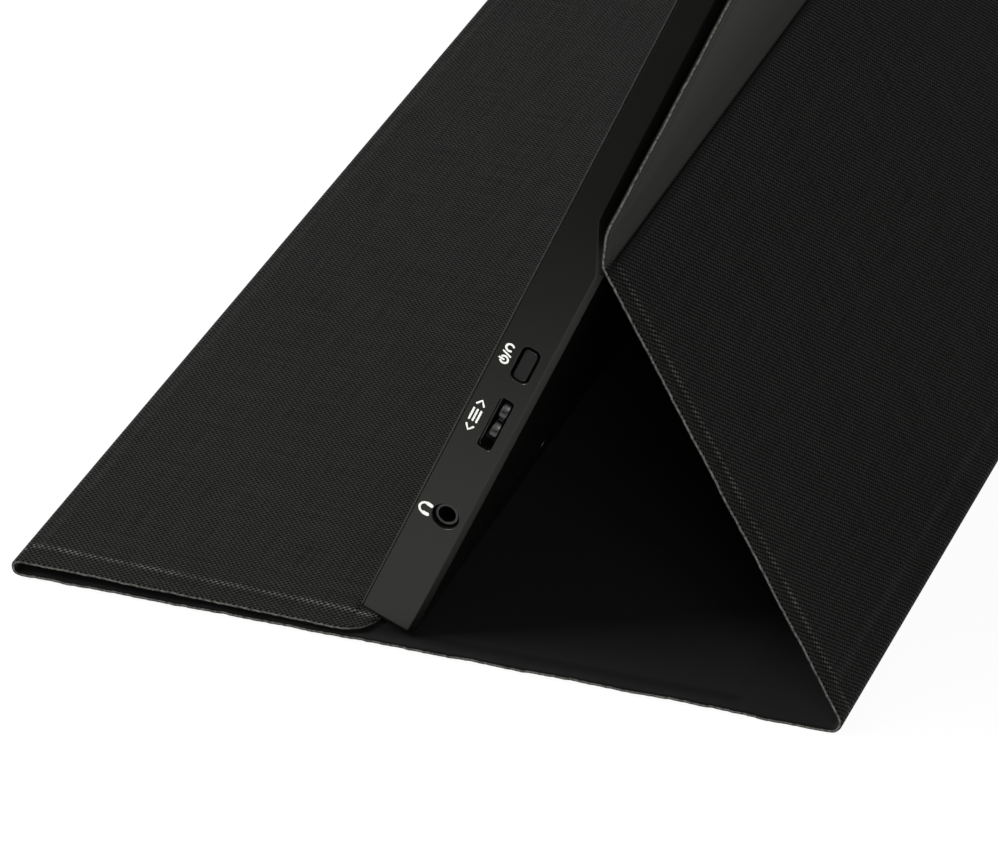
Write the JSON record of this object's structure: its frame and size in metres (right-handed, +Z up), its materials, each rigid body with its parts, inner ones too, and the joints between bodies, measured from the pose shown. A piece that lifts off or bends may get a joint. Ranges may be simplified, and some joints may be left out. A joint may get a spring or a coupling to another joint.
{
  "type": "portable monitor with cover",
  "caption": "Thin portable monitor leaning in its folding fabric cover, which makes base, support and front flap; power button, menu lever and headphone socket on one side.",
  "frame": {"origin": "on the ground, under the middle of the whole object's outline", "axes": "+X to the right hand of a person who faces the screen, +Y from the front fold to the back, +Z up"},
  "size_m": [0.364, 0.1753, 0.2125],
  "materials": {
    "case_plastic": "fine matte, black",
    "frame_plastic": "matte, black",
    "screen": "dark, low-glare film over glass",
    "diffuser_film": "white, satin",
    "clear_acrylic": "clear, polished",
    "led_strip": "white strip with yellow lamps",
    "sheet_steel": "plain pressed sheet",
    "circuit_board": "green solder mask",
    "chip_plastic": "moulded, black",
    "connector_plastic": "moulded, off-white",
    "amber_film": "amber flexible film",
    "port_steel": "plain drawn shell",
    "socket_plastic": "moulded, black",
    "switch_metal": "pressed cap",
    "switch_plastic": "moulded, dark grey",
    "speaker_plastic": "moulded, black",
    "screw_steel": "plain machined",
    "button_plastic": "satin, black",
    "lever_plastic": "semi-gloss, black",
    "magnet": "nickel-plated",
    "cover_fabric": "woven grain, black",
    "fold_fabric": "woven grain, black, soft",
    "cover_board": "grey board, hidden",
    "lining_fabric": "brushed microfibre, black"
  },
  "bodies": {
    "base": {"base_skin": "cover_fabric", "base_board": "cover_board", "base_lining": "lining_fabric", "crease_strip": "fold_fabric", "front_fold_strip": "fold_fabric"},
    "flap": {"flap_skin": "cover_fabric", "flap_board": "cover_board", "flap_lining": "lining_fabric", "flap_magnets": "magnet", "flap_hem": "cover_fabric"},
    "spine": {"spine_skin": "cover_fabric", "spine_lining": "lining_fabric", "rear_fold_strip": "fold_fabric"},
    "support": {"support_skin": "cover_fabric", "support_board": "cover_board", "support_lining": "lining_fabric", "elbow_strip": "fold_fabric"},
    "monitor": {"rear_shell": "case_plastic", "front_bezel": "frame_plastic", "lcd_cell": "screen", "optical_films": "diffuser_film", "light_guide": "clear_acrylic", "reflector_sheet": "diffuser_film", "led_bar": "led_strip", "panel_tray": "sheet_steel", "mid_frame": "sheet_steel", "main_board": "circuit_board", "timing_board": "circuit_board", "control_board": "circuit_board", "audio_board": "circuit_board", "scaler_chip": "chip_plastic", "board_parts": "chip_plastic", "board_connectors": "connector_plastic", "display_cable": "connector_plastic", "source_film": "amber_film", "usb_c_port_upper": "port_steel", "usb_c_port_lower": "port_steel", "mini_hdmi_port": "port_steel", "headphone_jack": "socket_plastic", "power_switch": "switch_metal", "jog_switch": "switch_plastic", "speaker_left": "speaker_plastic", "speaker_right": "speaker_plastic", "board_screws": "screw_steel", "shell_screws": "screw_steel", "shell_plates": "sheet_steel", "upper_skin": "cover_fabric", "upper_board": "cover_board", "upper_lining": "lining_fabric", "upper_magnets": "magnet"},
    "power_button": {"power_button": "button_plastic"},
    "jog_carriage": {"jog_carriage": "switch_plastic"},
    "menu_lever": {"menu_lever": "lever_plastic"}
  },
  "joints": [
    {"name": "front_fold", "type": "hinge", "parent": "base", "child": "flap", "pos_m": [0, -0.08729, 0.00232], "axis": [1, 0, 0], "range_deg": [0, 180], "deforming": ["front_fold_strip", "flap_hem"]},
    {"name": "spine_fold", "type": "hinge", "parent": "base", "child": "spine", "pos_m": [0, 0.06781, 0.00063], "axis": [-1, 0, 0], "range_deg": [0, 25], "deforming": ["crease_strip"]},
    {"name": "rear_fold", "type": "hinge", "parent": "spine", "child": "support", "pos_m": [0, 0.08261, 0.00285], "axis": [-1, 0, 0], "range_deg": [0, 20], "deforming": ["rear_fold_strip"]},
    {"name": "support_fold", "type": "hinge", "parent": "support", "child": "monitor", "pos_m": [0, 0.03679, 0.09154], "axis": [1, 0, 0], "range_deg": [0, 40], "deforming": ["elbow_strip"]},
    {"name": "power_press", "type": "slide", "parent": "monitor", "child": "power_button", "axis": [-1, 0, 0], "range_m": [0, 0.0004], "stiffness_N_per_m": 2500, "springref_m": -0.0002},
    {"name": "menu_press", "type": "slide", "parent": "monitor", "child": "jog_carriage", "axis": [-1, 0, 0], "range_m": [0, 0.0003], "stiffness_N_per_m": 3000, "springref_m": -0.0002},
    {"name": "menu_rock", "type": "hinge", "parent": "jog_carriage", "child": "menu_lever", "pos_m": [0.1725, 0.01409, 0.05333], "axis": [0, 0.9128, -0.4083], "range_deg": [-8, 8], "stiffness_Nm_per_rad": 0.05}
  ],
  "couplings": [
    {"joint": "support_fold", "follows": "rear_fold", "ratio": 2}
  ]
}
